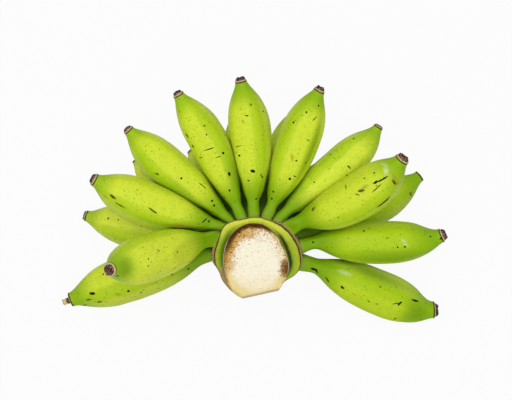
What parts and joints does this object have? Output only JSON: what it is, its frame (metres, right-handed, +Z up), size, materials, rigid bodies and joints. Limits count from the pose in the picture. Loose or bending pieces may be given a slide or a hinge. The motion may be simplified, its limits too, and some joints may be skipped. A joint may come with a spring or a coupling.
{
  "type": "hand of bananas",
  "caption": "Hand of short, plump green bananas growing round a cut piece of stalk, lying on its lower fingers with the cut face up.",
  "frame": {"origin": "middle of the bottom of the hand's box, on the surface that it lies on", "axes": "+Z up, +X along the hand's width, +Y from the stalk towards the middle fingers, away from the stalk's knife-cut front"},
  "size_m": [0.351, 0.2096, 0.1395],
  "materials": {
    "peel": "smooth, waxy yellow-green skin with darker green edges, fine dots and brown scars",
    "stalk": "matt cream cut flesh, browned round the edge, inside a green skin",
    "dried_flower": "rough, dry and crusty dark brown"
  },
  "bodies": {
    "root": {"stalk": "stalk", "banana_01": "peel", "banana_02": "peel", "banana_03": "peel", "banana_04": "peel", "banana_05": "peel", "banana_06": "peel", "banana_07": "peel", "banana_08": "peel", "banana_09": "peel", "banana_10": "peel", "banana_11": "peel", "banana_12": "peel", "banana_13": "peel", "banana_14": "peel", "banana_15": "peel", "banana_16": "peel", "banana_17": "peel", "banana_18": "peel", "banana_19": "peel", "flower_end_01": "dried_flower", "flower_end_02": "dried_flower", "flower_end_03": "dried_flower", "flower_end_04": "dried_flower", "flower_end_05": "dried_flower", "flower_end_06": "dried_flower", "flower_end_07": "dried_flower", "flower_end_08": "dried_flower", "flower_end_09": "dried_flower", "flower_end_10": "dried_flower", "flower_end_11": "dried_flower", "flower_end_12": "dried_flower", "flower_end_13": "dried_flower", "flower_end_14": "dried_flower", "flower_end_15": "dried_flower", "flower_end_16": "dried_flower", "flower_end_17": "dried_flower", "flower_end_18": "dried_flower", "flower_end_19": "dried_flower"}
  },
  "joints": []
}
